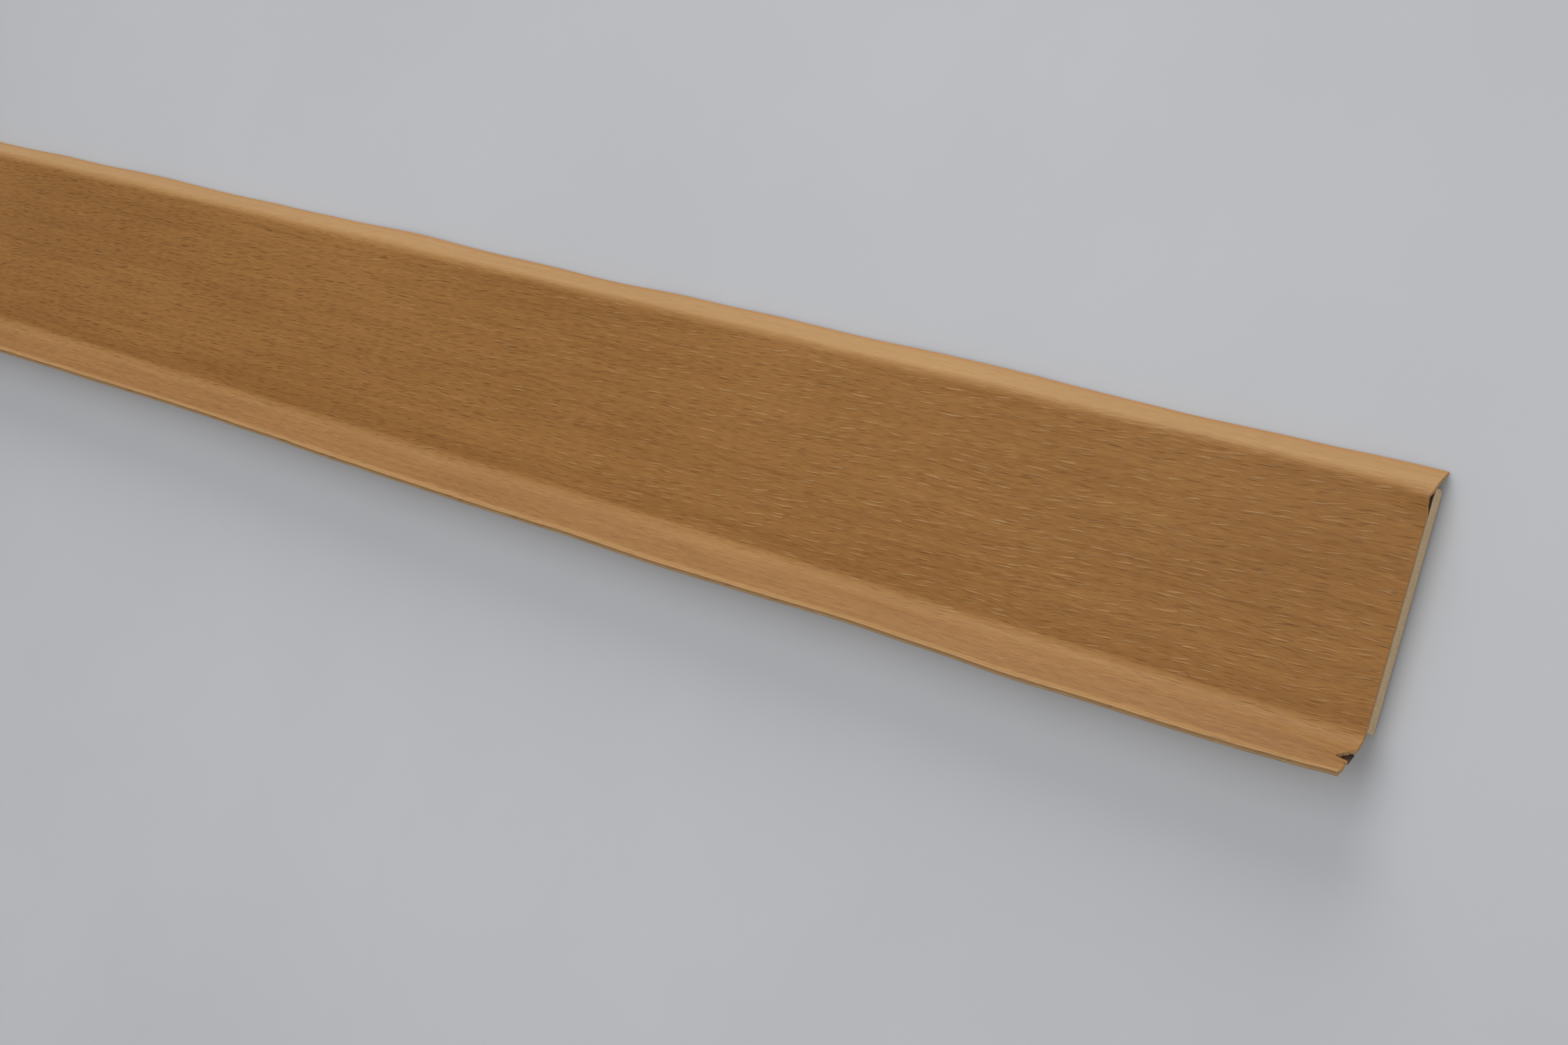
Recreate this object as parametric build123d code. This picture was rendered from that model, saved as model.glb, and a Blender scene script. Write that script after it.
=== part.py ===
from build123d import *

import math
import os

# Skirting board with soft lips: a stiff core strip faced with one thin bent cover profile.
# The board lies on its back. X runs along the length, Y up the board's height as it is fitted,
# Z out of its front. The origin is the middle of the core strip's back face. Millimetres.

os.makedirs("parts", exist_ok=True)

# Stock length the board is sold in
board_length = 2500.0

# Core strip
core_height = 47.2
core_thickness = 3.6
core_back_radius = 0.8
core_edge_radius = 0.3
core_nose_relief = 0.1

# Cover profile
cover_thickness = 0.8

# Sealing lip along the top edge
lip_rise = 3.8
lip_reach = 1.0
lip_knee_drop = 0.2
lip_bend_radius = 4.3

# Foot along the bottom edge
foot_drop = 9.0
foot_projection = 8.6
foot_knee_drop = 1.9
foot_bend_radius = 4.0
foot_crown = 0.35
toe_length = 1.3
toe_angle = 15.0
toe_bend_radius = 1.0
bead_radius = 0.6

# Heights are Y, depths are Z; both come from the driving sizes
half_cover = cover_thickness / 2
core_top = core_height / 2
core_low = -core_height / 2
face_depth = core_thickness + cover_thickness
cover_mid_depth = core_thickness + half_cover

# Corners of the cover's centre line, from the lip's tip down to the toe
lip_tip = Vector(core_top + lip_rise - half_cover, half_cover - lip_reach)
lip_knee = Vector(core_top - lip_knee_drop, cover_mid_depth)
foot_knee = Vector(core_low - foot_knee_drop, cover_mid_depth)
toe_tip = Vector(core_low - foot_drop + bead_radius, face_depth + foot_projection - bead_radius)
toe_turn = math.radians(toe_angle)
toe_knee = toe_tip + Vector(toe_length * math.sin(toe_turn), -toe_length * math.cos(toe_turn))

# The foot is crowned: its middle stands proud of the straight line from knee to toe
foot_span = toe_knee - foot_knee
foot_outward = Vector(foot_span.Y, -foot_span.X).normalized()
foot_crest = (foot_knee + toe_knee) * 0.5 + foot_outward * foot_crown

# Centre-line radii, from the radii that are felt on the front
lip_bend_mid = lip_bend_radius - half_cover
foot_bend_mid = foot_bend_radius + half_cover
toe_bend_mid = toe_bend_radius + half_cover
crest_tangent = (toe_knee - foot_crest).length / 3
crest_turn = math.atan2(foot_crown, foot_span.length / 2)
crest_bend_mid = crest_tangent / math.tan(crest_turn)


def build_cover() -> Part:
    """Bend the cover's centre line, thicken it to a round-edged profile and run it full length."""
    centre_line = FilletPolyline(
        lip_tip,
        lip_knee,
        foot_knee,
        foot_crest,
        toe_knee,
        toe_tip,
        radius=[lip_bend_mid, foot_bend_mid, crest_bend_mid, toe_bend_mid],
    )
    profile = make_face(offset(centre_line, amount=half_cover, kind=Kind.ARC, side=Side.BOTH))
    bead = Pos(toe_tip.X, toe_tip.Y) * Circle(bead_radius)
    return extrude(Plane.YZ * (profile + bead), amount=board_length / 2, both=True)


def build_core() -> Part:
    """Draw the strip with its nose rounded under the cover's bend and run it full length."""
    lip_line = lip_tip - lip_knee
    lip_lean = math.atan2(-lip_line.Y, lip_line.X)
    bend_start = lip_knee.X - lip_bend_mid * math.tan(lip_lean / 2)
    nose_start = bend_start - core_nose_relief
    nose_radius = lip_bend_radius - cover_thickness
    nose_turn = math.asin((core_top - nose_start) / nose_radius)
    nose_end = core_thickness - nose_radius * (1 - math.cos(nose_turn))
    nose_half = nose_turn / 2
    nose_middle = (
        nose_start + nose_radius * math.sin(nose_half),
        core_thickness - nose_radius * (1 - math.cos(nose_half)),
    )
    outline = Curve() + [
        Polyline((core_top, nose_end), (core_top, 0), (core_low, 0), (core_low, core_thickness)),
        Line((core_low, core_thickness), (nose_start, core_thickness)),
        ThreePointArc((nose_start, core_thickness), nose_middle, (core_top, nose_end)),
    ]
    profile = make_face(outline)
    back_top = profile.vertices().sort_by_distance((core_top, 0, 0))[0]
    profile = fillet(back_top, core_back_radius)
    back_low = profile.vertices().sort_by_distance((core_low, 0, 0))[0]
    profile = fillet(back_low, core_edge_radius)
    return extrude(Plane.YZ * profile, amount=board_length / 2, both=True)


core_strip = build_core()
core_strip.label = "core_strip"
export_step(core_strip, "parts/core_strip.step")

lipped_cover = build_cover()
lipped_cover.label = "lipped_cover"
export_step(lipped_cover, "parts/lipped_cover.step")
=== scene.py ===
"""Skirting board with soft lips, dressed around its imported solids.

The board lies on its back with its front up, as stock is stored. Metres, in the part's own frame:
X along the board with the worn saw cut at +X, Y up the board as it is fitted, Z out of its front.
Section sizes are written in millimetres and turned to metres where the meshes are made.
"""

import logging
import math
from dataclasses import dataclass, field, fields
from enum import Enum
from functools import partial
from typing import Any, Sequence

import bmesh
import bpy
from bpy.types import Material, Mesh, NodeSocket as Socket, NodeTree, Object
from mathutils import Matrix, Vector


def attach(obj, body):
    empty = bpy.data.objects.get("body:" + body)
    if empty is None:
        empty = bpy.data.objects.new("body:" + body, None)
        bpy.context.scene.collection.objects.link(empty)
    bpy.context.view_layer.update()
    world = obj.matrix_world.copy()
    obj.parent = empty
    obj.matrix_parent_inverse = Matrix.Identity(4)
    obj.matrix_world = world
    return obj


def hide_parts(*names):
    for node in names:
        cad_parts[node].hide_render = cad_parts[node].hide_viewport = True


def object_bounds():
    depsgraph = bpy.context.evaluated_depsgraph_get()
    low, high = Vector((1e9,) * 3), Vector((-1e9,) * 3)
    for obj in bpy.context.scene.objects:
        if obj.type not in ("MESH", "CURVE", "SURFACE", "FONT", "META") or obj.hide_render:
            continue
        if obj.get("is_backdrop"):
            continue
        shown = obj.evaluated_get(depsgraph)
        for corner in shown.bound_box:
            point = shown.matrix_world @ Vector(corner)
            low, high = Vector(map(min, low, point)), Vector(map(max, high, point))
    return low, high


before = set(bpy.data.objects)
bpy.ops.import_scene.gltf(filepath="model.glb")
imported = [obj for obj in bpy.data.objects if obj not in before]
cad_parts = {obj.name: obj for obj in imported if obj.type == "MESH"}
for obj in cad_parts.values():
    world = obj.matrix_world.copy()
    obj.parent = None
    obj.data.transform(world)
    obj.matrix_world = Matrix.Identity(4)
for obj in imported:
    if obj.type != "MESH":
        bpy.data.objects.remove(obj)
CAD_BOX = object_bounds()

LOG = logging.getLogger("skirting_board")
MM = 0.001
GRAIN = "grain_run"
RAW_FACE = "raw_face"
MATH = "ShaderNodeMath"
VECTOR_MATH = "ShaderNodeVectorMath"
MAP_RANGE = "ShaderNodeMapRange"
MIX = "ShaderNodeMix"
COMBINE = "ShaderNodeCombineXYZ"


class Side(Enum):
    """The two sides of the thin cover, as the sign of the way out of it."""

    FRONT = 1.0
    BACK = -1.0


class SoftEdge(Enum):
    """The two soft edges of the cover, which wave along the board."""

    LIP = "lip"
    FOOT = "foot"


class Scrap(Enum):
    """Dark scraps at the cover's near end: a tongue bent in behind the tear and a sheet in the gap
    under the peel, both painted shade.
    """

    # Dark, as painted shade in the hole behind the tear
    TONGUE = "tongue bent in behind the tear"
    # A thin dark sheet in the gap under the peel, painted shade there
    SHADE_SHEET = "old glue under the peel"


class Landmark(Enum):
    """Places across the cover that the film's bands are measured from."""

    TIP = "middle of the lip's tip"
    LIP_KNEE = "bend between lip and face"
    FOOT_KNEE = "bend between face and foot"
    BEAD = "middle of the toe's bead"


class SocketKind(Enum):
    """Kinds of named input that a sweep takes."""

    LENGTH = "NodeSocketFloat"
    COUNT = "NodeSocketInt"
    FINISH = "NodeSocketMaterial"


def linear(colour: str) -> tuple[float, float, float, float]:
    """Turn an sRGB hex colour into a linear one.

    Args:
        colour: The colour as "#rrggbb".

    Returns:
        Linear red, green, blue and an alpha of one.
    """
    parts = [int(colour[i:i + 2], 16) / 255 for i in (1, 3, 5)]
    red, green, blue = [c / 12.92 if c <= 0.04045 else ((c + 0.055) / 1.055) ** 2.4 for c in parts]
    return red, green, blue, 1.0


def add_node(
    tree: NodeTree,
    kind: str,
    *inputs: Any,
    named: dict[int | str, Any] | None = None,
    outlet: int | str = 0,
    **settings: Any,
) -> Socket | None:
    """Add a node with its settings, and link or set its inputs.

    Args:
        tree: The tree the node goes into.
        kind: The node's type name, or in capitals what a math node does.
        inputs: Sockets to link from, or values to set, in the order of the node's inputs.
        named: The same for inputs that are given by name or number.
        outlet: The name or number of the output that is wanted.
        settings: Property values by name.

    Returns:
        The wanted output, or nothing for a node that has none.
    """
    if kind.isupper():
        kind, settings = MATH, {"operation": kind, **settings}
    node = tree.nodes.new(kind)
    for name, value in settings.items():
        setattr(node, name, value)
    for key, value in {**dict(enumerate(inputs)), **(named or {})}.items():
        if isinstance(value, Socket):
            tree.links.new(value, node.inputs[key])
        else:
            node.inputs[key].default_value = value
    return node.outputs[outlet] if node.outputs else None


def smooth(low: float, high: float, value: float) -> float:
    """Ease from 0 at low to 1 at high."""
    share = min(max((value - low) / (high - low), 0.0), 1.0)
    return share * share * (3 - 2 * share)


@dataclass(frozen=True)
class Stretch:
    """A straight or evenly curved stretch of a path in the section, in millimetres."""

    start: Vector
    heading: Vector
    length: float
    bend: float = 0.0

    def at(self, along: float) -> tuple[Vector, Vector]:
        """Find a point on the stretch.

        Args:
            along: Distance from the stretch's start.

        Returns:
            The point and the heading there.
        """
        if self.bend == 0.0:
            return self.start + self.heading * along, self.heading
        left = Vector((-self.heading.y, self.heading.x))
        turn = along * self.bend
        heading = self.heading * math.cos(turn) + left * math.sin(turn)
        middle = self.start + left / self.bend
        return middle + Vector((heading.y, -heading.x)) / self.bend, heading


class RoundedPath:
    """An open path of straight runs joined by tangent arcs."""

    def __init__(self, corners: Sequence[Vector], radii: Sequence[float]) -> None:
        """Lay the runs and arcs.

        Args:
            corners: The path's ends and the corners between them.
            radii: One radius for each inner corner.
        """
        self.stretches: list[Stretch] = []
        self.knees: list[float] = []
        self.length = 0.0
        cursor = corners[0]
        for before, corner, after, radius in zip(corners, corners[1:], corners[2:], radii):
            into = (corner - before).normalized()
            out = (after - corner).normalized()
            turn = math.atan2(into.x * out.y - into.y * out.x, into.dot(out))
            reach = radius * math.tan(abs(turn) / 2)
            start = corner - into * reach
            arc = radius * abs(turn)
            self._lay(Stretch(cursor, into, (start - cursor).length))
            self.knees.append(self.length + arc / 2)
            self._lay(Stretch(start, into, arc, math.copysign(1 / radius, turn)))
            cursor = corner + out * reach
        last = corners[-1] - cursor
        self._lay(Stretch(cursor, last.normalized(), last.length))

    def _lay(self, stretch: Stretch) -> None:
        """Add a stretch to the end of the path."""
        self.stretches.append(stretch)
        self.length += stretch.length

    def at(self, along: float) -> tuple[Vector, Vector]:
        """Find a point on the path, or straight on beyond its ends.

        Args:
            along: Distance from the path's start.

        Returns:
            The point and the heading there.
        """
        for stretch in self.stretches[:-1]:
            if along <= stretch.length:
                return stretch.at(along)
            along -= stretch.length
        return self.stretches[-1].at(along)


@dataclass(frozen=True)
class SectionPoint:
    """A point of a section's outline, in millimetres, with what wear does to it.

    The middle is the point on the section's middle line that the outline stands off by outward.
    Lift is the way the material moves when it ripples or peels. Run is the distance round the
    section, ripple the share of the ripple it takes, sag how far it hangs back away from the worn
    end, end_lift how far it lifts at that end and tear how much is torn off it.
    """

    middle: Vector
    outward: Vector
    lift: Vector
    run: float
    front: float = 0.0
    ripple: float = 0.0
    sag: float = 0.0
    end_lift: float = 0.0
    tear: float = 0.0


def section_mesh(name: str, points: Sequence[SectionPoint]) -> Mesh:
    """Make a loose-point mesh that carries a section and its wear as attributes.

    Args:
        name: The mesh's name.
        points: The outline's points in order.

    Returns:
        The mesh, in metres.
    """
    mesh = bpy.data.meshes.new(name)
    mesh.from_pydata([(0.0, p.middle.x * MM, p.middle.y * MM) for p in points], [], [])
    for key, scale in (("outward", MM), ("lift", 1.0)):
        values = [c * scale for p in points for c in (0.0, *getattr(p, key))]
        mesh.attributes.new(key, "FLOAT_VECTOR", "POINT").data.foreach_set("vector", values)
    scales = {"run": MM, "front": 1.0, "ripple": 1.0, "sag": MM, "end_lift": MM, "tear": MM}
    for key, scale in scales.items():
        values = [getattr(p, key) * scale for p in points]
        mesh.attributes.new(key, "FLOAT", "POINT").data.foreach_set("value", values)
    return mesh


@dataclass(frozen=True)
class SweepSizes:
    """How a section is run along the board, in metres. Field names are the sweep's input names."""

    length: float
    stations: int
    fine_run: float
    edge_ease: float
    edge_shrink: float
    end_reach: float
    tear_reach: float
    sag_reach: float = 0.1
    ripple_height: float = 0.0
    ripple_length: float = 0.05
    seed: float = 0.0


class StripSweep:
    """A node tree that runs a section along the board, closes its ends and wears the near one."""

    CUT_ROWS = 2
    NOISE_MIDDLE = 0.5
    WIDENING = 3
    WELD = 0.001 * MM
    SOFT_ANGLE = math.radians(35)
    RAW_SHARE = 0.6

    def __init__(self) -> None:
        """Build the tree with its named inputs."""
        self.tree = bpy.data.node_groups.new("strip_sweep", "GeometryNodeTree")
        self.add = partial(add_node, self.tree)
        self.identifiers: dict[str, str] = {}
        face = self.tree.interface
        face.new_socket("section", in_out="INPUT", socket_type="NodeSocketGeometry")
        kinds = {f.name: SocketKind.LENGTH for f in fields(SweepSizes)}
        kinds["stations"] = SocketKind.COUNT
        kinds["face_finish"] = SocketKind.FINISH
        kinds["raw_finish"] = SocketKind.FINISH
        for name, kind in kinds.items():
            made = face.new_socket(name, in_out="INPUT", socket_type=kind.value)
            self.identifiers[name] = made.identifier
        face.new_socket("strip", in_out="OUTPUT", socket_type="NodeSocketGeometry")
        self.given = self.add("NodeGroupInput").node.outputs
        self.half = self.add("DIVIDE", self.given["length"], 2)
        self._lay_nodes()

    def _sampled(self, name: str, column: Socket, kind: str = "FLOAT") -> Socket:
        """Read an attribute of the section at a column.

        Args:
            name: The attribute, or "position".
            column: The number of the section's point.
            kind: The attribute's data type.

        Returns:
            The value there.
        """
        value = self.add("GeometryNodeInputNamedAttribute", name, data_type=kind)
        return self.add(
            "GeometryNodeSampleIndex",
            named={"Geometry": self.given["section"], "Value": value, "Index": column},
            data_type=kind,
            domain="POINT",
        )

    def _place_rows(self, row: Socket) -> tuple[Socket, Socket, Socket]:
        """Place the rows along the board.

        The first and last two rows are the cut face and its eased edge. The rest are stations, close
        together at the worn end and wide apart at the other.

        Args:
            row: The row's number.

        Returns:
            Where the row is along the board, whether a cut has it, and its share of the thickness.
        """
        add, given = self.add, self.given
        inner = add("SUBTRACT", self.half, given["edge_ease"])
        last = add("ADD", given["stations"], self.CUT_ROWS - 1)
        share = add(MAP_RANGE, row, self.CUT_ROWS, last)
        steady = add("MULTIPLY", given["fine_run"], share)
        spread = add("SUBTRACT", add("MULTIPLY", inner, 2), given["fine_run"])
        spread = add("MULTIPLY", spread, add("POWER", share, self.WIDENING))
        station = add("SUBTRACT", inner, add("ADD", steady, spread))

        # Rows are whole numbers, so each is told from the next at the half between them
        near = add("LESS_THAN", row, self.CUT_ROWS - 0.5)
        far = add("GREATER_THAN", row, add("ADD", last, 0.5))
        side = add("SUBTRACT", near, far)
        station = add("MULTIPLY_ADD", side, given["edge_ease"], station)
        edge = add("ADD", near, far)

        first = add("LESS_THAN", row, 0.5)
        final = add("GREATER_THAN", row, add("ADD", last, 1.5))
        shut = add("ADD", first, final)
        loss = add("MULTIPLY", edge, add("SUBTRACT", 1, given["edge_shrink"]))
        taper = add("SUBTRACT", 1, loss)
        return station, edge, add("MULTIPLY", taper, add("SUBTRACT", 1, shut))

    def _wear(self, station: Socket, run: Socket, column: Socket) -> tuple[Socket, Socket]:
        """Tear and lift the near end, and let the soft edges ripple and sag.

        Args:
            station: Where the row is along the board.
            run: The point's distance round the section.
            column: The number of the section's point.

        Returns:
            Where the point is along the board, and how far it rises.
        """
        add, given = self.add, self.given
        tear_from = add("SUBTRACT", self.half, given["tear_reach"])
        torn = add(MAP_RANGE, station, tear_from, self.half)
        tear = add("MULTIPLY", torn, self._sampled("tear", column))
        place = add("SUBTRACT", station, tear)
        starts = [add("SUBTRACT", self.half, given[reach]) for reach in ("end_reach", "sag_reach")]
        lifted, held = [
            add(MAP_RANGE, station, start, self.half, interpolation_type="SMOOTHERSTEP")
            for start in starts
        ]
        along = add("DIVIDE", station, given["ripple_length"])
        across = add("DIVIDE", run, given["ripple_length"])
        wave = add(
            "ShaderNodeTexNoise",
            named={"Vector": add(COMBINE, along, across, given["seed"]), "Scale": 1.0, "Detail": 1.0},
            noise_dimensions="3D",
        )
        wave = add("MULTIPLY", add("SUBTRACT", wave, self.NOISE_MIDDLE), given["ripple_height"])
        wave = add("MULTIPLY", wave, self._sampled("ripple", column))
        hang = add("MULTIPLY", add("SUBTRACT", held, 1), self._sampled("sag", column))
        rise = add("MULTIPLY_ADD", lifted, self._sampled("end_lift", column), wave)
        return place, add("ADD", rise, hang)

    def _lay_nodes(self) -> None:
        """Lay the tree: a grid of stations by section points, placed, worn, merged and dressed."""
        add, given = self.add, self.given
        count = add("GeometryNodeAttributeDomainSize", given["section"])
        rows = add("ADD", given["stations"], 2 * self.CUT_ROWS)
        grid = add("GeometryNodeMeshGrid", named={"Vertices X": rows, "Vertices Y": count})
        index = add("GeometryNodeInputIndex")
        row = add("FLOOR", add("DIVIDE", add("ADD", index, 0.5), count))
        column = add("SUBTRACT", index, add("MULTIPLY", row, count))
        run = self._sampled("run", column)
        station, edge, thick = self._place_rows(row)
        place, rise = self._wear(station, run, column)

        spot = self._sampled("position", column, "FLOAT_VECTOR")
        for name, scale in (("outward", thick), ("lift", rise)):
            way = self._sampled(name, column, "FLOAT_VECTOR")
            way = add(VECTOR_MATH, way, named={"Scale": scale}, operation="SCALE")
            spot = add(VECTOR_MATH, spot, way, operation="ADD")
        spot = add(VECTOR_MATH, spot, add(COMBINE, place), operation="ADD")
        strip = add("GeometryNodeSetPosition", grid, named={"Position": spot})

        grain = add(COMBINE, station, run)
        behind = add("SUBTRACT", 1, self._sampled("front", column))
        raw = add("MAXIMUM", behind, edge)
        for name, kind, value in ((GRAIN, "FLOAT_VECTOR", grain), (RAW_FACE, "FLOAT", raw)):
            strip = add(
                "GeometryNodeStoreNamedAttribute",
                named={"Geometry": strip, "Name": name, "Value": value},
                data_type=kind,
                domain="POINT",
            )
        strip = add("GeometryNodeMergeByDistance", strip, named={"Distance": self.WELD})
        strip = add("GeometryNodeFlipFaces", strip)
        angle = add("GeometryNodeInputMeshEdgeAngle")
        soft = add("LESS_THAN", angle, self.SOFT_ANGLE)
        strip = add("GeometryNodeSetShadeSmooth", strip, named={"Shade Smooth": soft}, domain="EDGE")
        strip = add("GeometryNodeRealizeInstances", strip)
        share = add("GeometryNodeInputNamedAttribute", RAW_FACE, data_type="FLOAT")
        bare = add("GREATER_THAN", share, self.RAW_SHARE)
        for where, finish in ((True, "face_finish"), (bare, "raw_finish")):
            chosen = {"Selection": where, "Material": given[finish]}
            strip = add("GeometryNodeSetMaterial", strip, named=chosen)
        add("NodeGroupOutput", strip)

    def run(
        self, name: str, section: Mesh, sizes: SweepSizes, face: Material, raw: Material
    ) -> Object:
        """Sweep a section into a finished piece with a plain mesh.

        Args:
            name: The piece's name.
            section: The section's point mesh.
            sizes: The sweep's sizes.
            face: The finish of the outer faces.
            raw: The finish of the back and the cut ends.

        Returns:
            The piece, at the origin.
        """
        piece = bpy.data.objects.new(name, section)
        bpy.context.scene.collection.objects.link(piece)
        sweep = piece.modifiers.new("sweep", "NODES")
        sweep.node_group = self.tree
        values = {f.name: getattr(sizes, f.name) for f in fields(sizes)}
        for key, value in {**values, "face_finish": face, "raw_finish": raw}.items():
            sweep[self.identifiers[key]] = value
        graph = bpy.context.evaluated_depsgraph_get()
        mesh = bpy.data.meshes.new_from_object(piece.evaluated_get(graph))
        mesh.name = name
        piece.modifiers.clear()
        piece.data = mesh
        bpy.data.meshes.remove(section)
        return piece


@dataclass(frozen=True)
class BoardSizes:
    """Sizes that the strip and its cover share, in millimetres."""

    length: float = 2500.0
    core_height: float = 47.2
    core_thickness: float = 3.6
    cover_thickness: float = 0.8
    lip_bend_radius: float = 4.3
    lip_rise: float = 3.8
    lip_reach: float = 1.0
    lip_knee_drop: float = 0.2

    @property
    def lip_tip(self) -> Vector:
        """The middle of the lip's rounded tip."""
        half = self.cover_thickness / 2
        return Vector((self.core_height / 2 + self.lip_rise - half, half - self.lip_reach))

    @property
    def lip_knee(self) -> Vector:
        """The corner of the cover's middle line where the lip leaves the face."""
        depth = self.core_thickness + self.cover_thickness / 2
        return Vector((self.core_height / 2 - self.lip_knee_drop, depth))


@dataclass(frozen=True)
class EndWear:
    """What has happened to the cover at the near end, in millimetres along the section.

    Under the lip the cover has peeled off the strip and its edge is chipped. The foot is torn: the
    tear runs along the board at its lower side and slantwise back to the saw cut at its upper side.
    A raggedness is a sum of waves, each with its height, its pace and its start.
    """

    peel_height: float = 0.75
    peel_start: float = 0.2
    peel_peak: float = 1.8
    peel_stop: float = 6.0
    chip_depth: float = 0.35
    tear_start: float = 2.9
    tear_end: float = 5.9
    tear_depth: float = 2.85
    tear_curve: float = 0.9
    tear_lower_side: float = 0.45
    tear_rag: float = 0.3
    tear_rag_from: float = 0.25
    nick_at: float = 7.15
    nick_half_width: float = 0.3
    nick_depth: float = 0.5
    tongue_lead: float = 0.2
    tongue_short: float = 0.3
    tongue_sunk: float = 0.1
    tongue_free: float = 0.5
    tongue_root: float = 0.9
    tongue_drop: float = 0.55
    tongue_thickness: float = 0.3
    # The thin dark sheet of painted shade in the gap under the peel
    shade_sheet_start: float = 0.08
    shade_sheet_reach: float = 5.0
    shade_sheet_thickness: float = 0.15
    shade_sheet_gap: float = 0.005
    flap_rise: float = 0.25
    flap_ease: float = 1.0
    saw_rag: float = 0.05
    rag_waves: tuple[tuple[float, float, float], ...] = (
        (0.5, 7.3, 0.4),
        (0.3, 15.1, 0.0),
        (0.2, 31.7, 1.1),
    )

    def rag(self, run: float) -> float:
        """Fixed raggedness between -1 and 1 along the section."""
        return sum(height * math.sin(pace * run + start) for height, pace, start in self.rag_waves)

    def peeled(self, past_lip: float) -> float:
        """Share of the peel at a distance from the lip's knee, 1 where it is worst."""
        rise = smooth(self.peel_start, self.peel_peak, past_lip)
        return rise * (1 - smooth(self.peel_peak, self.peel_stop, past_lip))

    def torn_off(self, past_lip: float, past_foot: float) -> float:
        """How much is missing from the end of the cover.

        Args:
            past_lip: Distance from the lip's knee.
            past_foot: Distance from the foot's knee.

        Returns:
            The missing length along the board.
        """
        missing = self.saw_rag * (1 + self.rag(past_foot)) + self.chip_depth * self.peeled(past_lip)
        share = (past_foot - self.tear_start) / (self.tear_end - self.tear_start)
        if 0.0 <= share <= 1.0:
            window = min(1.0, share / self.tear_rag_from)
            missing += self.tear_depth * share ** self.tear_curve
            missing += self.tear_rag * window * self.rag(past_foot)
        elif share > 1.0:
            left = 1 - (past_foot - self.tear_end) / self.tear_lower_side
            missing += self.tear_depth * max(left, 0.0)
        nick = 1 - abs(past_foot - self.nick_at) / self.nick_half_width
        return max(missing + self.nick_depth * max(nick, 0.0), 0.0)

    def lifted(self, past_lip: float, past_foot: float) -> float:
        """How far the cover stands off its true place at the very end.

        Args:
            past_lip: Distance from the lip's knee.
            past_foot: Distance from the foot's knee.

        Returns:
            The lift along the cover's front, of the peel and of the flap below the tear.
        """
        flap = smooth(self.tear_end - self.flap_ease, self.tear_end + self.flap_ease, past_foot)
        return self.peel_height * self.peeled(past_lip) + self.flap_rise * flap


@dataclass(frozen=True)
class Swell:
    """A place where a soft edge stands out, or hangs back where below zero.

    The place is a distance from the near end and the reach goes to either side of it, in millimetres.
    """

    edge: SoftEdge
    place: float
    reach: float
    height: float

    def at(self, back: float) -> float:
        """Height of the swell at a distance from the near end."""
        return self.height * (1 - smooth(0.0, self.reach, abs(back - self.place)))


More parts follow.
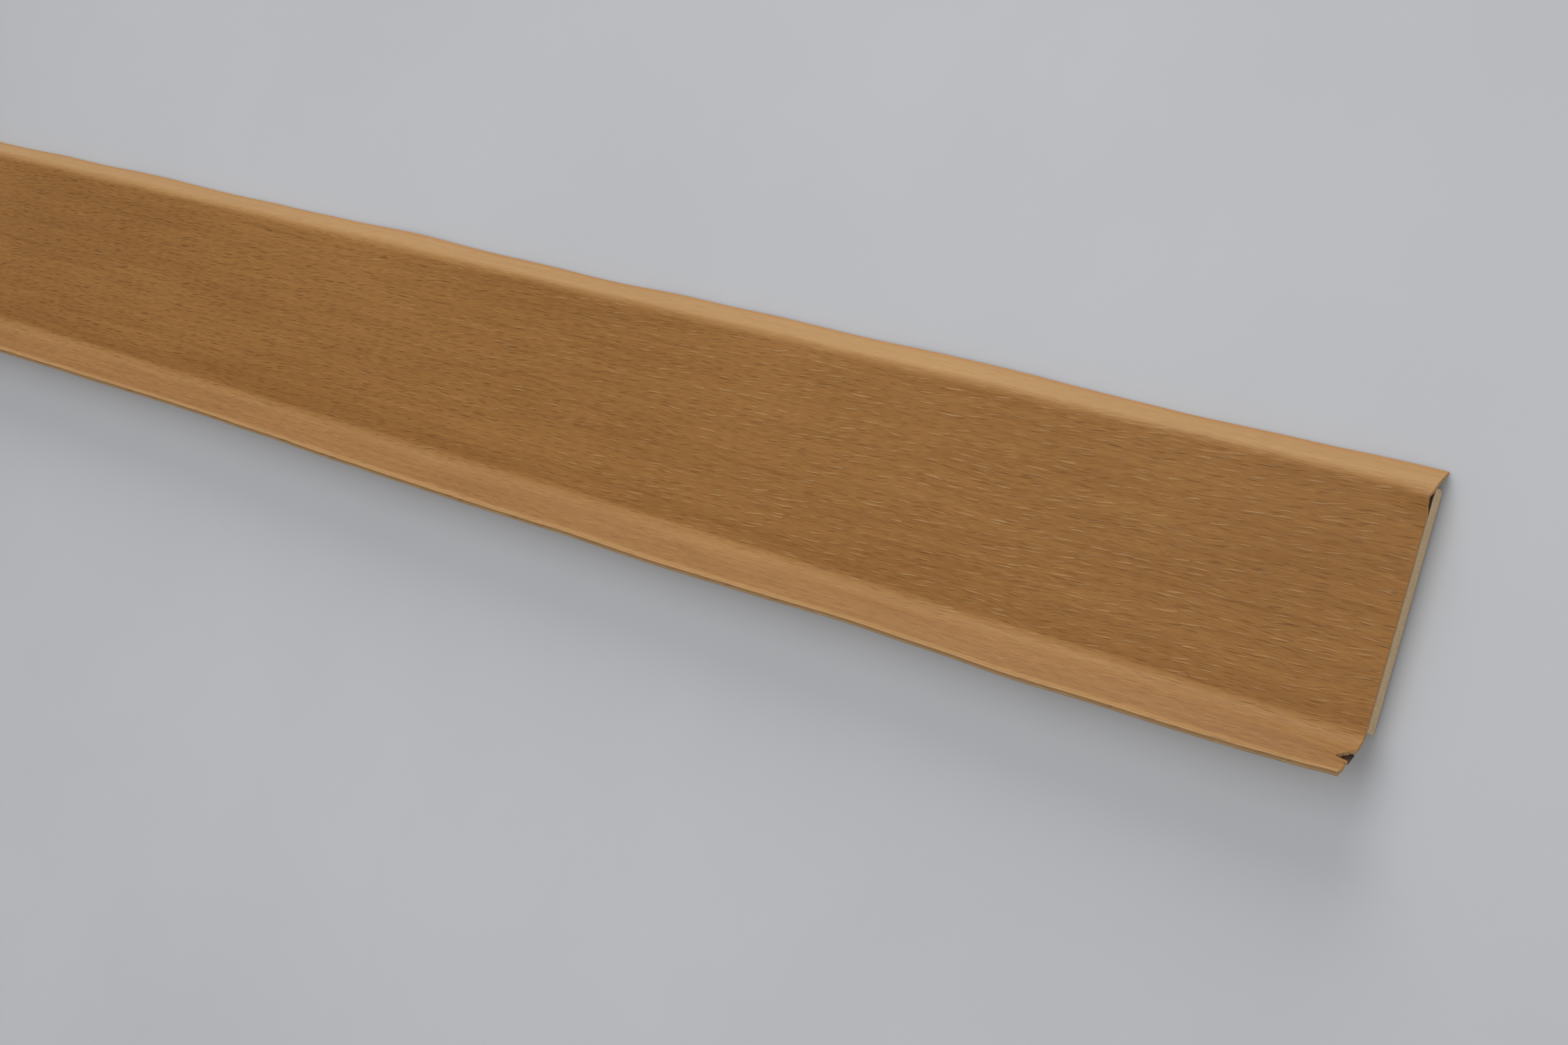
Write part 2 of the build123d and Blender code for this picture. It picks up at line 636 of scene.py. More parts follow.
@dataclass
class LippedCover:
    """The thin bent cover: sealing lip, face, foot and rounded toe bead in one."""

    board: BoardSizes
    wear: EndWear = field(default_factory=EndWear)
    foot_drop: float = 9.0
    foot_projection: float = 8.6
    foot_knee_drop: float = 1.9
    foot_bend_radius: float = 4.0
    foot_crown: float = 0.35
    toe_length: float = 1.3
    toe_angle: float = 15.0
    toe_bend_radius: float = 1.0
    bead_radius: float = 0.6
    lip_freed: float = -0.5
    lip_held: float = 2.0
    foot_held: float = 1.0
    foot_sag: float = 0.7
    foot_ripple: float = 0.5
    swells: tuple[Swell, ...] = (
        Swell(SoftEdge.LIP, 5, 60, -0.43),
        Swell(SoftEdge.LIP, 57, 32, -0.5),
        Swell(SoftEdge.LIP, 105, 25, 0.6),
        Swell(SoftEdge.LIP, 150, 45, 0.4),
        Swell(SoftEdge.LIP, 218, 25, -0.36),
        Swell(SoftEdge.LIP, 278, 25, 0.55),
        Swell(SoftEdge.LIP, 362, 25, -0.55),
        Swell(SoftEdge.LIP, 455, 40, -0.7),
        Swell(SoftEdge.FOOT, 35, 35, -0.45),
        Swell(SoftEdge.FOOT, 68, 26, -0.68),
        Swell(SoftEdge.FOOT, 112, 24, 0.45),
        Swell(SoftEdge.FOOT, 165, 32, -0.5),
        Swell(SoftEdge.FOOT, 228, 60, -0.42),
        Swell(SoftEdge.FOOT, 345, 70, 0.5),
    )
    round_steps: int = 5
    face_step: float = 1.9
    bend_step: float = 0.55
    bend_reach: float = 4.0
    tear_step: float = 0.2
    tear_lead: float = 0.3
    nick_margin: float = 0.6
    stations: int = 340

    def path(self) -> RoundedPath:
        """Lay the cover's middle line from the lip's tip down to the toe."""
        board = self.board
        half = board.cover_thickness / 2
        low = -board.core_height / 2
        front = board.core_thickness + board.cover_thickness
        foot_knee = Vector((low - self.foot_knee_drop, board.lip_knee.y))
        toe_tip = Vector((low - self.foot_drop, front + self.foot_projection))
        toe_tip += Vector((self.bead_radius, -self.bead_radius))
        turn = math.radians(self.toe_angle)
        toe_knee = toe_tip + self.toe_length * Vector((math.sin(turn), -math.cos(turn)))
        span = toe_knee - foot_knee
        outward = Vector((span.y, -span.x)).normalized()
        crest = (foot_knee + toe_knee) / 2 + self.foot_crown * outward
        crest_turn = math.atan2(self.foot_crown, span.length / 2)
        crest_radius = (toe_knee - crest).length / 3 / math.tan(crest_turn)
        return RoundedPath(
            [board.lip_tip, board.lip_knee, foot_knee, crest, toe_knee, toe_tip],
            [
                board.lip_bend_radius - half,
                self.foot_bend_radius + half,
                crest_radius,
                self.toe_bend_radius + half,
            ],
        )

    def half_thickness(self, run: float, length: float) -> float:
        """Half the cover's thickness at a place, rounded at the lip's tip and swollen at the bead.

        Args:
            run: Distance from the middle of the lip's tip.
            length: The middle line's length.

        Returns:
            Half the thickness in millimetres.
        """
        half = self.board.cover_thickness / 2
        if run < 0:
            return math.sqrt(max(half * half - run * run, 0.0))
        past = run - length
        bead = math.sqrt(max(self.bead_radius ** 2 - past * past, 0.0))
        return bead if past > 0 else max(half, bead)

    def runs(self, path: RoundedPath) -> list[float]:
        """Choose where along the section the mesh has its points.

        Args:
            path: The cover's middle line.

        Returns:
            Distances from the lip's tip, close together at bends, tear and rounded edges.
        """
        half = self.board.cover_thickness / 2
        steps = self.round_steps
        lip, foot = path.knees[:2]
        chosen = [-half * math.cos(k / steps * math.pi / 2) for k in range(steps)]
        bead_start = path.length - math.sqrt(self.bead_radius ** 2 - half ** 2)
        stops = [
            (lip + self.wear.peel_stop, self.bend_step),
            (foot - self.bend_reach, self.face_step),
            (foot + self.wear.tear_start - self.tear_lead, self.bend_step),
            (foot + self.wear.nick_at + self.nick_margin, self.tear_step),
            (bead_start, self.bend_step),
        ]
        start = 0.0
        for stop, step in stops:
            count = max(1, round((stop - start) / step))
            chosen += [start + (stop - start) * k / count for k in range(count)]
            start = stop
        low = math.asin((bead_start - path.length) / self.bead_radius)
        swing = math.pi / 2 - low
        turns = [low + swing * k / (2 * steps) for k in range(2 * steps + 1)]
        return chosen + [path.length + self.bead_radius * math.sin(turn) for turn in turns]

    def softness(self, edge: SoftEdge, run: float, path: RoundedPath) -> float:
        """How freely the cover moves at a place.

        Args:
            edge: The soft edge it moves with.
            run: Distance from the middle of the lip's tip.
            path: The cover's middle line.

        Returns:
            A share from 0 on the strip to 1 at the edge's rim.
        """
        if edge is SoftEdge.LIP:
            return 1 - smooth(self.lip_freed, path.knees[0] + self.lip_held, run)
        return smooth(path.knees[1] + self.foot_held, path.length, run)

    def section(self) -> list[SectionPoint]:
        """Work out the outline, down the front from the lip and back up behind."""
        path = self.path()
        lip, foot = path.knees[:2]
        points: list[SectionPoint] = []
        runs = self.runs(path)
        for side, order in ((Side.FRONT, runs), (Side.BACK, runs[::-1])):
            for run in order:
                middle, heading = path.at(run)
                normal = Vector((heading.y, -heading.x))
                soft_lip = self.softness(SoftEdge.LIP, run, path)
                soft_foot = self.softness(SoftEdge.FOOT, run, path)
                points.append(
                    SectionPoint(
                        middle=middle,
                        outward=normal * side.value * self.half_thickness(run, path.length),
                        lift=normal,
                        run=run,
                        front=1.0 if side is Side.FRONT else 0.0,
                        ripple=soft_lip + self.foot_ripple * soft_foot,
                        sag=self.foot_sag * soft_foot,
                        end_lift=self.wear.lifted(run - lip, run - foot),
                        tear=self.wear.torn_off(run - lip, run - foot),
                    )
                )
        return points

    def swell(self, mesh: Mesh) -> None:
        """Wave the soft edges as they stand on this board, over the ripple that they all have.

        Args:
            mesh: The swept cover, in metres, with its place on the film at each point.
        """
        path = self.path()
        end = self.board.length / 2
        for vertex, place in zip(mesh.vertices, mesh.attributes[GRAIN].data):
            station, run, _ = place.vector / MM
            free = {edge: self.softness(edge, run, path) for edge in SoftEdge}
            if not any(free.values()):
                continue
            height = sum(free[swell.edge] * swell.at(end - station) for swell in self.swells)
            _, heading = path.at(run)
            vertex.co += Vector((0.0, heading.y, -heading.x)) * height * MM

    def scrap_corners(self, kind: Scrap, gone: float) -> list[tuple[float, float]]:
        """Find the four corners of a scrap where it is cut across.

        Args:
            kind: Which scrap.
            gone: How much is torn off the cover there.

        Returns:
            How far each corner is back from the end, and in from the cover's middle.
        """
        wear, half = self.wear, self.board.cover_thickness / 2
        if kind is Scrap.SHADE_SHEET:
            near, far = wear.shade_sheet_start, wear.shade_sheet_reach
            top, low = half - wear.shade_sheet_thickness, half - wear.shade_sheet_gap
            return [(far, top), (near, top), (near, low), (far, low)]
        free = wear.tongue_free
        root = max(gone, free) + wear.tongue_root
        top = half + wear.tongue_drop
        thick = wear.tongue_thickness
        return [(root, half - wear.tongue_sunk), (free, top), (free, top + thick), (root, half + thick)]

    def scrap_rings(self, kind: Scrap) -> list[list[Vector]]:
        """Shape the scraps at the near end: the tongue in the tear, or the dark sheet of painted shade
        under the peel.

        Args:
            kind: Which scrap.

        Returns:
            Rings of four corners, in millimetres.
        """
        wear, path = self.wear, self.path()
        lip, foot = path.knees[:2]
        start, stop = lip + wear.peel_start, lip + wear.peel_stop
        if kind is Scrap.TONGUE:
            start = foot + wear.tear_start - wear.tongue_lead
            stop = foot + wear.tear_end - wear.tongue_short
        steps = round((stop - start) / self.tear_step)
        rings: list[list[Vector]] = []
        for k in range(steps + 1):
            run = start + (stop - start) * k / steps
            middle, heading = path.at(run)
            inward = Vector((-heading.y, heading.x))
            ring: list[Vector] = []
            for back, depth in self.scrap_corners(kind, wear.torn_off(run - lip, run - foot)):
                spot = middle + inward * depth
                ring.append(Vector((self.board.length / 2 - back, spot.x, spot.y)))
            rings.append(ring)
        return rings

    def add_scraps(self, mesh: Mesh, torn: Material) -> None:
        """Add the scraps to the cover's mesh as small closed strips.

        Args:
            mesh: The cover's mesh, in metres.
            torn: The dark finish of the scraps, painted shade.
        """
        mesh.materials.append(torn)
        shell = bmesh.new()
        shell.from_mesh(mesh)
        faces: list[bmesh.types.BMFace] = []
        for kind in Scrap:
            rings = [[shell.verts.new(spot * MM) for spot in ring] for ring in self.scrap_rings(kind)]
            faces += [shell.faces.new(rings[0]), shell.faces.new(rings[-1])]
            for ring, following in zip(rings, rings[1:]):
                for near, far in ((0, 1), (1, 2), (2, 3), (3, 0)):
                    corners = (ring[near], ring[far], following[far], following[near])
                    faces.append(shell.faces.new(corners))
        for face in faces:
            face.material_index = len(mesh.materials) - 1
        bmesh.ops.recalc_face_normals(shell, faces=faces)
        shell.to_mesh(mesh)
        shell.free()

    def build(self, sweep: StripSweep, film: Material, raw: Material, torn: Material) -> Object:
        """Sweep the cover, tear it and let it stand for its solid.

        Args:
            sweep: The tree that runs sections along the board.
            film: The finish of the front.
            raw: The finish of the back and the cuts.
            torn: The dark finish of the scraps, painted shade in the tear and under the peel.

        Returns:
            The finished piece.
        """
        sizes = SweepSizes(
            length=self.board.length * MM,
            stations=self.stations,
            fine_run=160 * MM,
            edge_ease=0.06 * MM,
            edge_shrink=0.86,
            end_reach=8 * MM,
            tear_reach=9 * MM,
            sag_reach=120 * MM,
            ripple_height=1.9 * MM,
            ripple_length=45 * MM,
            seed=4.0,
        )
        section = section_mesh("cover_section", self.section())
        piece = sweep.run("beech_look_cover", section, sizes, film, raw)
        self.swell(piece.data)
        self.add_scraps(piece.data, torn)
        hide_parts("lipped_cover")
        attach(piece, "root")
        return piece


@dataclass
class CoreStrip:
    """The stiff strip behind the cover, with the burr that the saw left at its lower back edge."""

    board: BoardSizes
    back_radius: float = 0.8
    edge_radius: float = 0.3
    nose_relief: float = 0.1
    flat_step: float = 5.0
    arc_steps: int = 6
    burr_height: float = 0.45
    burr_width: float = 0.7
    burr_lean: tuple[float, float] = (-0.9, 0.2)
    stations: int = 90

    def arc(self, middle: Vector, radius: float, start: float, sweep: float) -> list[Vector]:
        """Draw an arc that turns clockwise.

        Args:
            middle: The arc's middle.
            radius: Its radius.
            start: The angle of its first point.
            sweep: The angle it turns through.

        Returns:
            Its points.
        """
        turns = [start - sweep * k / self.arc_steps for k in range(self.arc_steps + 1)]
        return [middle + radius * Vector((math.cos(turn), math.sin(turn))) for turn in turns]

    def outline(self) -> list[Vector]:
        """Draw the strip's outline once round, in millimetres."""
        board = self.board
        top, low, front = board.core_height / 2, -board.core_height / 2, board.core_thickness
        line = board.lip_tip - board.lip_knee
        lean = math.atan2(-line.y, line.x)
        bend = board.lip_bend_radius - board.cover_thickness / 2
        nose_start = board.lip_knee.x - bend * math.tan(lean / 2) - self.nose_relief
        nose_radius = board.lip_bend_radius - board.cover_thickness
        nose_turn = math.asin((top - nose_start) / nose_radius)
        quarter = math.pi / 2
        nose = self.arc(Vector((nose_start, front - nose_radius)), nose_radius, quarter, nose_turn)
        back_middle = Vector((top - self.back_radius, self.back_radius))
        back = self.arc(back_middle, self.back_radius, 0.0, quarter)
        heel_middle = Vector((low + self.edge_radius, self.edge_radius))
        heel = self.arc(heel_middle, self.edge_radius, -quarter, quarter)
        flats = max(1, round(board.core_height / self.flat_step))
        rise = [Vector((low + (nose_start - low) * k / flats, front)) for k in range(flats)]
        fall = [back[-1].lerp(heel[0], k / flats) for k in range(1, flats)]
        return [*rise, *nose, *back, *fall, *heel]

    def section(self) -> list[SectionPoint]:
        """Work out the outline's points, standing off the strip's middle line."""
        board = self.board
        half = board.core_thickness / 2
        reach = board.core_height / 2 - half
        heel = Vector((-board.core_height / 2, 0.0))
        points: list[SectionPoint] = []
        run = 0.0
        outline = self.outline()
        for before, spot in zip([outline[0], *outline], [*outline, outline[0]]):
            run += (spot - before).length
            middle = Vector((min(max(spot.x, -reach), reach), half))
            share = max(0.0, 1 - (spot - heel).length / self.burr_width)
            points.append(
                SectionPoint(
                    middle=middle,
                    outward=spot - middle,
                    lift=Vector(self.burr_lean),
                    run=run,
                    front=1.0,
                    end_lift=self.burr_height * share,
                )
            )
        return points

    def build(self, sweep: StripSweep, skin: Material, sawn: Material) -> Object:
        """Sweep the strip and let it stand for its solid.

        Args:
            sweep: The tree that runs sections along the board.
            skin: The finish of the long faces.
            sawn: The finish of the cut ends.

        Returns:
            The finished piece.
        """
        sizes = SweepSizes(
            length=self.board.length * MM,
            stations=self.stations,
            fine_run=30 * MM,
            edge_ease=0.08 * MM,
            edge_shrink=0.94,
            end_reach=1.1 * MM,
            tear_reach=5 * MM,
        )
        section = section_mesh("core_section", self.section())
        piece = sweep.run("sawn_core", section, sizes, skin, sawn)
        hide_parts("core_strip")
        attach(piece, "root")
        return piece


@dataclass(frozen=True)
class Strokes:
    """Short strokes scattered one to a cell over the film, in millimetres and degrees.

    Share is how many of the cells have one. Slimness is what a stroke's size is divided by, from one
    stroke to another. A stroke is full inside its core, a share of its size, and fades outside it.
    """

    cell: tuple[float, float]
    size: tuple[float, float]
    share: float
    tilt: float
    tilt_spread: float
    seed: float
    scatter: float = 0.9
    slimness: tuple[float, float] = (1.7, 0.8)
    core: float = 0.25
    faintest: float = 0.45

    def mask(self, tree: NodeTree, place: Socket) -> Socket:
        """Lay the strokes.

        Args:
            tree: The material's tree.
            place: The place on the film in millimetres.

        Returns:
            How deep or dark the stroke is there, from 0 to 1.
        """
        add = partial(add_node, tree)
        grid = {
            "Location": (self.seed, self.seed, 0.0),
            "Scale": (1 / self.cell[0], 1 / self.cell[1], 1.0),
        }
        spot = add("ShaderNodeMapping", place, named=grid)
        cell = add(
            "ShaderNodeTexVoronoi",
            named={"Vector": spot, "Scale": 1.0, "Randomness": self.scatter},
            voronoi_dimensions="2D",
            feature="F1",
        ).node.outputs
        chance = add("ShaderNodeSeparateColor", cell["Color"]).node.outputs
        away = add(VECTOR_MATH, spot, cell["Position"], operation="SUBTRACT")
        away = add(VECTOR_MATH, away, (*self.cell, 0.0), operation="MULTIPLY")
        least = math.radians(self.tilt - self.tilt_spread)
        most = math.radians(self.tilt + self.tilt_spread)
        turn = add(MAP_RANGE, chance[1], 0.0, 1.0, least, most)
        away = add("ShaderNodeVectorRotate", away, named={"Angle": turn}, rotation_type="Z_AXIS")
        shrink = (2 / self.size[0], 2 / self.size[1], 0.0)
        away = add(VECTOR_MATH, away, shrink, operation="MULTIPLY")
        slim = add(MAP_RANGE, chance[2], 0.0, 1.0, *self.slimness)
        away = add(VECTOR_MATH, away, named={"Scale": slim}, operation="SCALE")
        away = add(VECTOR_MATH, away, operation="LENGTH", outlet="Value")
        stroke = add(MAP_RANGE, away, self.core, 1.0, 1.0, 0.0, interpolation_type="SMOOTHSTEP")
        there = add("GREATER_THAN", chance[0], 1 - self.share)
        strength = add(MAP_RANGE, chance[0], 1 - self.share, 1.0, self.faintest, 1.0)
        there = add("MULTIPLY", there, strength)
        return add("MULTIPLY", stroke, there)


@dataclass(frozen=True)
class Figure:
    """One scale of the print: how long and wide its marks are in millimetres, and how much it tells."""

    size: tuple[float, float]
    detail: float
    weight: float
    roughness: float = 0.6

    def tone(self, tree: NodeTree, place: Socket) -> Socket:
        """Draw the figure.

        Args:
            tree: The material's tree.
            place: The place on the film in millimetres.

        Returns:
            The tone, about a half on average.
        """
        scale = (1 / self.size[0], 1 / self.size[1], 1.0)
        spot = add_node(tree, "ShaderNodeMapping", place, named={"Scale": scale})
        marks = {"Vector": spot, "Scale": 1.0, "Detail": self.detail, "Roughness": self.roughness}
        return add_node(tree, "ShaderNodeTexNoise", named=marks, noise_dimensions="2D")


@dataclass(frozen=True)
class Ease:
    """A strength that changes across the film, from start to stop in millimetres past a landmark."""

    landmark: Landmark
    start: float
    stop: float
    before: float
    after: float


# The print is calmer on the lip and on the foot. The lip is paler, partly its own colour and partly
# painted light. The foot's bend and the bead are paler as painted highlights, the lip's tip is warmer,
# and the line above the foot and the bead's underside are darker as painted shade.
FILM_BANDS = {
    "calm_lip": Ease(Landmark.LIP_KNEE, -1.0, 3.0, 0.2, 1.0),
    "calm_foot": Ease(Landmark.FOOT_KNEE, -2.5, 1.5, 1.0, 0.65),
    "lip": Ease(Landmark.LIP_KNEE, -1.5, 2.0, 0.85, 0.0),
    "tip": Ease(Landmark.TIP, 0.2, 1.4, 0.5, 0.0),
    "crease_shade_in": Ease(Landmark.FOOT_KNEE, -9.0, -3.5, 0.0, 0.14),
    "crease_shade_out": Ease(Landmark.FOOT_KNEE, -3.0, -1.5, 1.0, 0.0),
    "bend_highlight_in": Ease(Landmark.FOOT_KNEE, -2.2, -0.7, 0.0, 0.3),
    "bend_highlight_out": Ease(Landmark.FOOT_KNEE, 1.0, 4.5, 1.0, 0.3),
    "bead": Ease(Landmark.BEAD, -1.9, -1.0, 0.0, 0.55),
    "under": Ease(Landmark.BEAD, 0.3, 0.5, 0.0, 0.6),
}


@dataclass(frozen=True)
class BeechFilm:
    """Printed beech-look PVC film, pressed with wood pores under a satin lacquer.

    The print gives a warm brown with long fine streaks and short dark flecks. The pressed pores are
    thin grooves a few millimetres long that catch the light on one side, with pale glints painted into
    them as well. Sizes in millimetres.
    Printed fibres are finer than the render can show, so they are drawn 0.2 mm wide.
    """

    landmarks: dict[Landmark, float]
    name: str = "printed_beech_film_embossed"
    dark: str = "#7A4E1C"
    light: str = "#A87840"
    line: str = "#6E420F"
    fleck: str = "#5C360A"
    # Painted glints in the pores and painted highlight on the bead
    glint: str = "#C29B68"
    # A paler copy of the print: on the lip partly its own colour and partly painted light, on the
    # foot's bend a painted highlight
    pale_dark: str = "#A67C48"
    pale_light: str = "#BE9660"
    edge: str = "#A8703A"
    # Painted shade on the bead's underside
    under: str = "#4E3013"
    drift: Figure = Figure(size=(36.0, 10.0), detail=1.0, weight=1.8)
    wobble: Figure = Figure(size=(4.5, 2.0), detail=1.0, weight=0.3)
    clouds: Figure = Figure(size=(90.0, 16.0), detail=2.0, weight=0.3)
    streaks: Figure = Figure(size=(45.0, 1.1), detail=3.0, weight=0.5)
    fibres: Figure = Figure(size=(4.0, 0.2), detail=3.0, weight=0.8)
    lines: Figure = Figure(size=(60.0, 0.9), detail=2.0, weight=0.28)
    line_tones: tuple[float, float] = (0.62, 0.76)
    shade_range: float = 0.42
    pores: Strokes = Strokes(
        cell=(6.0, 1.3), size=(6.6, 0.46), share=0.74, tilt=5.0, tilt_spread=4.0, seed=0.0
    )
    flecks: Strokes = Strokes(
        cell=(4.6, 0.8), size=(5.4, 0.28), share=0.75, tilt=4.0, tilt_spread=4.0, seed=7.3
    )
    # A slow wave along the board for the painted glints in the pores, and for the painted shade that
    # strengthens the flecks where the glints are weak
    fade_length: float = 560.0
    fade_peak: float = 1135.0
    fade_swing: float = 0.23
    fade_middle: float = 0.22
    fleck_yield: float = -0.6
    fleck_most: float = 0.92
    pore_depth: float = 0.11
    fibre_relief: float = 0.25
    roughness: tuple[float, float] = (0.52, 0.42)
    specular: float = 0.26
    ior: float = 1.5

    def make(self) -> Material:
        """Build the material."""
        material = bpy.data.materials.new(self.name)
        material.use_nodes = True
        tree = material.node_tree
        tree.nodes.clear()
        add = partial(add_node, tree)
        grain = add("ShaderNodeAttribute", outlet="Vector", attribute_name=GRAIN)
        flat = add(VECTOR_MATH, grain, named={"Scale": 1 / MM}, operation="SCALE")
        along, run = add("ShaderNodeSeparateXYZ", flat).node.outputs[:2]

        # The fibres wander a little across the board
        drift: Any = 0.0
        for figure in (self.drift, self.wobble):
            tone = figure.tone(tree, flat)
            drift = add("MULTIPLY_ADD", tone, figure.weight, drift)
        wood = add(VECTOR_MATH, flat, add(COMBINE, 0.0, drift), operation="ADD")

        fibre = self.fibres.tone(tree, wood)
        shade: Any = 0.0
        for figure in (self.clouds, self.streaks, self.fibres):
            tone = fibre if figure is self.fibres else figure.tone(tree, wood)
            part = add("MULTIPLY_ADD", tone, figure.weight, -figure.weight / 2)
            shade = add("ADD", shade, part)
        shade = add(MAP_RANGE, shade, -self.shade_range, self.shade_range)
        # The paler copy serves the lip, partly as painted light, and the foot's bend as a painted
        # highlight
        ground, pale = [
            add(MIX, shade, named={6: linear(low), 7: linear(high)}, outlet=2, data_type="RGBA")
            for low, high in ((self.dark, self.light), (self.pale_dark, self.pale_light))
        ]

        band: dict[str, Socket] = {}
        for name, ease in FILM_BANDS.items():
            mark = self.landmarks[ease.landmark]
            stretch = (mark + ease.start, mark + ease.stop, ease.before, ease.after)
            band[name] = add(MAP_RANGE, run, *stretch, interpolation_type="SMOOTHSTEP")
        # Painted shade in the inner bend above the foot
        crease_shade = add("MULTIPLY", band["crease_shade_in"], band["crease_shade_out"])
        # Painted highlight on the foot's bend
        bend = add("MULTIPLY", band["bend_highlight_in"], band["bend_highlight_out"])
        face = add("MULTIPLY", band["calm_lip"], band["calm_foot"])
        lines = add(
            MAP_RANGE,
            self.lines.tone(tree, wood),
            *self.line_tones,
            0.0,
            self.lines.weight,
            interpolation_type="SMOOTHSTEP",
        )
        lines, fleck, pore = [
            add("MULTIPLY", mark, face)
            for mark in (lines, self.flecks.mask(tree, wood), self.pores.mask(tree, wood))
        ]

        # The pale dashes in the pores are painted glints, strong where the light catches the pores and
        # weak elsewhere, in a slow wave along the board. The print's dark flecks are made stronger
        # where the glints are weak, as painted shade of the pores.
        wave_end = self.fade_peak + self.fade_length
        fade = add(MAP_RANGE, along, self.fade_peak, wave_end, 0.0, math.tau, clamp=False)
        fade = add("COSINE", fade)
        fade = add("MULTIPLY_ADD", fade, self.fade_swing, self.fade_middle)
        glint = add("MULTIPLY", pore, fade)
        press = add("MULTIPLY_ADD", fade, self.fleck_yield, self.fleck_most)
        fleck = add("MULTIPLY", fleck, press)
        colour = ground
        # Painted shade above the foot, painted highlight on the foot's bend, the paler lip (partly
        # painted light), the warmer tip, painted highlight on the bead, the print's lines and flecks,
        # painted glints in the pores and painted shade under the bead
        for share, paint in (
            (crease_shade, linear(self.line)),
            (bend, pale),
            (band["lip"], pale),
            (band["tip"], linear(self.edge)),
            (band["bead"], linear(self.glint)),
            (lines, linear(self.line)),
            (fleck, linear(self.fleck)),
            (glint, linear(self.glint)),
            (band["under"], linear(self.under)),
        ):
            colour = add(MIX, share, named={6: colour, 7: paint}, outlet=2, data_type="RGBA")

        fine = add("MULTIPLY", fibre, self.fibre_relief)
        height = add("SUBTRACT", fine, pore)
        relief = {"Strength": 1.0, "Distance": self.pore_depth * MM, "Height": height}
        shader = add(
            "ShaderNodeBsdfPrincipled",
            named={
                "Base Color": colour,
                "Roughness": add(MAP_RANGE, pore, 0.0, 1.0, *self.roughness),
                "Normal": add("ShaderNodeBump", named=relief),
                "IOR": self.ior,
                "Specular IOR Level": self.specular,
            },
        )
        add("ShaderNodeOutputMaterial", shader)
        return material


@dataclass(frozen=True)
class SpeckledPlastic:
    """Plastic or paint with fine fillers: an even ground with a faint speckle and a slight relief.

    Filler grains are hundredths of a millimetre, too fine to show, so the speckle is drawn coarser.
    Speckle and relief in millimetres.
    """

    name: str
    dark: str
    light: str
    roughness: float
    speckle: tuple[float, float, float]
    relief: float
    tones: tuple[float, float] = (0.3, 0.7)
    detail: float = 4.0
    tone_roughness: float = 0.65
    ior: float = 1.5

    def make(self) -> Material:
        """Build the material."""
        material = bpy.data.materials.new(self.name)
        material.use_nodes = True
        tree = material.node_tree
        tree.nodes.clear()
        add = partial(add_node, tree)
        place = add("ShaderNodeTexCoord", outlet="Object")
        scale = tuple(1 / (size * MM) for size in self.speckle)
        marks = {
            "Vector": add("ShaderNodeMapping", place, named={"Scale": scale}),
            "Scale": 1.0,
            "Detail": self.detail,
            "Roughness": self.tone_roughness,
        }
        tone = add("ShaderNodeTexNoise", named=marks, noise_dimensions="3D")
        share = add(MAP_RANGE, tone, *self.tones)
        ends = {6: linear(self.dark), 7: linear(self.light)}
        relief = {"Strength": 1.0, "Distance": self.relief * MM, "Height": tone}
        shader = add(
            "ShaderNodeBsdfPrincipled",
            named={
                "Base Color": add(MIX, share, named=ends, outlet=2, data_type="RGBA"),
                "Roughness": self.roughness,
                "Normal": add("ShaderNodeBump", named=relief),
                "IOR": self.ior,
            },
        )
        add("ShaderNodeOutputMaterial", shader)
        return material


# Soft PVC as the die leaves it: plain tan, drawn a little along the run, half dull
RAW_PVC = SpeckledPlastic(
    name="raw_soft_pvc",
    dark="#94734A",
    light="#AE8E62",
    roughness=0.5,
    speckle=(6.0, 0.6, 0.6),
    relief=0.05,
)
# Scraps of soft PVC in the tear and under the peel: dark as painted shade in the hole and the gap,
# ragged and dull, so that the tear reads as a hole
SCRAP_SHADE_PVC = SpeckledPlastic(
    name="scrap_pvc_painted_shade",
    dark="#2A1B0D",
    light="#4A3419",
    roughness=0.8,
    speckle=(0.5, 0.5, 0.5),
    relief=0.08,
)
# Wood-filled PVC as extruded: tan with long faint draw marks, half dull
EXTRUDED_CORE = SpeckledPlastic(
    name="wood_filled_pvc_extruded",
    dark="#A5875C",
    light="#B99B6E",
    roughness=0.55,
    speckle=(40.0, 0.7, 0.7),
    relief=0.03,
)
# Wood-filled PVC as sawn: paler than the skin, grainy and matt
SAWN_CORE = SpeckledPlastic(
    name="wood_filled_pvc_sawn",
    dark="#B89C76",
    light="#D6BC96",
    roughness=0.75,
    speckle=(0.6, 0.5, 0.5),
    relief=0.06,
)
# Matt painted floor: an even pale grey with broad clouds that hardly show, and no relief
PALE_FLOOR = SpeckledPlastic(
    name="matt_pale_floor",
    dark="#BABCC0",
    light="#BFC1C5",
    roughness=0.6,
    speckle=(160.0, 160.0, 160.0),
    relief=0.0,
)


